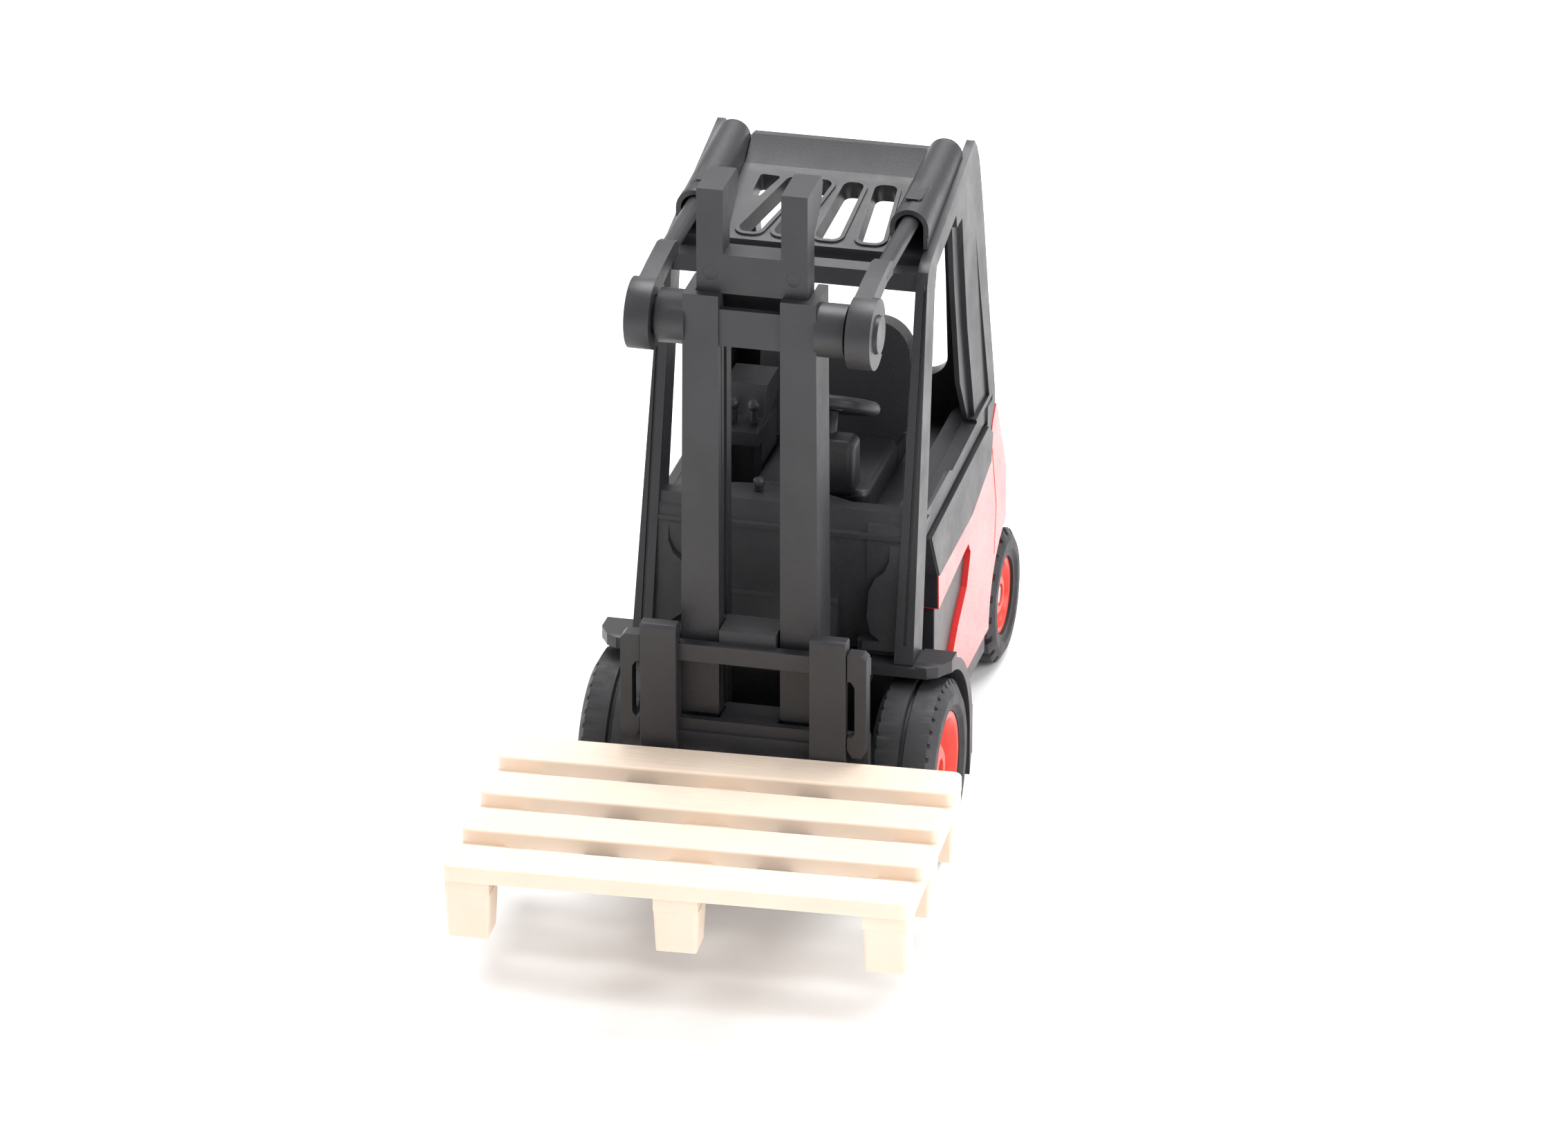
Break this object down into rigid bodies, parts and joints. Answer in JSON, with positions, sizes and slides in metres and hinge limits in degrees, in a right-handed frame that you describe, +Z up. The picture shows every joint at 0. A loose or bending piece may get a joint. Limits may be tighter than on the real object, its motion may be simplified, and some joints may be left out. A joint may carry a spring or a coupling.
{
  "type": "toy forklift truck with pallet",
  "caption": "Toy counterbalance forklift with red die-cast body, black cab, tilting two-stage mast, fork carriage, spinning wheels and a loose cream pallet.",
  "frame": {"origin": "centre of the whole toy's plan rectangle, forks and pallet included, on the floor under the wheels", "axes": "+Z up, -Y forwards along the forks, +X towards the driver's left"},
  "size_m": [0.031, 0.068, 0.0485],
  "materials": {
    "red_metal": "glossy red lacquer on die-cast metal",
    "black_plastic": "black moulded plastic with a fine spark-eroded grain",
    "inset_plastic": "dark plastic, flat and plain",
    "steel": "plain steel wire",
    "red_plastic": "red moulded plastic",
    "tyre": "soft black tyre",
    "pallet_plastic": "cream plastic with a moulded wood grain on the slats"
  },
  "bodies": {
    "chassis": {"chassis_body": "red_metal", "base_plate": "black_plastic", "base_rivets": "steel", "mast_pivot_pin": "steel", "cab_frame": "black_plastic", "cab_tub": "black_plastic", "roof_panel": "black_plastic", "front_fenders": "black_plastic", "side_inset_left": "inset_plastic", "side_inset_right": "inset_plastic", "seat": "black_plastic", "armrest_console": "black_plastic", "control_levers": "black_plastic", "dash_knob": "black_plastic", "steering_column": "black_plastic", "steering_wheel": "black_plastic", "tilt_cylinder_left": "black_plastic", "tilt_cylinder_right": "black_plastic"},
    "mast": {"outer_mast": "black_plastic"},
    "inner_mast": {"inner_mast": "black_plastic"},
    "carriage": {"fork_carriage": "black_plastic", "fork_left": "black_plastic", "fork_right": "black_plastic"},
    "pallet": {"pallet": "pallet_plastic"},
    "tilt_rod_left": {"tilt_rod_left": "black_plastic"},
    "tilt_rod_right": {"tilt_rod_right": "black_plastic"},
    "front_wheels": {"front_axle": "steel", "front_rim_left": "red_plastic", "front_rim_right": "red_plastic", "front_tyre_left": "tyre", "front_tyre_right": "tyre"},
    "rear_wheels": {"rear_axle": "steel", "rear_rim_left": "red_plastic", "rear_rim_right": "red_plastic", "rear_tyre_left": "tyre", "rear_tyre_right": "tyre"}
  },
  "joints": [
    {"name": "mast_tilt", "type": "hinge", "parent": "chassis", "child": "mast", "pos_m": [0, -0.0069, 0.0036], "axis": [1, 0, 0], "range_deg": [-6, 4]},
    {"name": "mast_lift", "type": "slide", "parent": "mast", "child": "inner_mast", "axis": [0, 0, 1], "range_m": [-0.0049, 0.011]},
    {"name": "carriage_lift", "type": "slide", "parent": "inner_mast", "child": "carriage", "axis": [0, 0, 1], "range_m": [0, 0.008]},
    {"name": "pallet_lift_off", "type": "slide", "parent": "carriage", "child": "pallet", "axis": [0, 0, 1], "range_m": [0, 0.012]},
    {"name": "tilt_rod_left_turn", "type": "hinge", "parent": "mast", "child": "tilt_rod_left", "pos_m": [0.0072, -0.0096, 0.03915], "axis": [1, 0, 0], "range_deg": [-4, 6]},
    {"name": "tilt_rod_right_turn", "type": "hinge", "parent": "mast", "child": "tilt_rod_right", "pos_m": [-0.0072, -0.0096, 0.03915], "axis": [1, 0, 0], "range_deg": [-4, 6]},
    {"name": "front_wheels_spin", "type": "hinge", "parent": "chassis", "child": "front_wheels", "pos_m": [0, -0.0046, 0.0061], "axis": [1, 0, 0], "continuous": true},
    {"name": "rear_wheels_spin", "type": "hinge", "parent": "chassis", "child": "rear_wheels", "pos_m": [0, 0.0264, 0.00465], "axis": [1, 0, 0], "continuous": true}
  ],
  "couplings": [
    {"joint": "tilt_rod_left_turn", "follows": "mast_tilt", "ratio": -1},
    {"joint": "tilt_rod_right_turn", "follows": "mast_tilt", "ratio": -1}
  ]
}
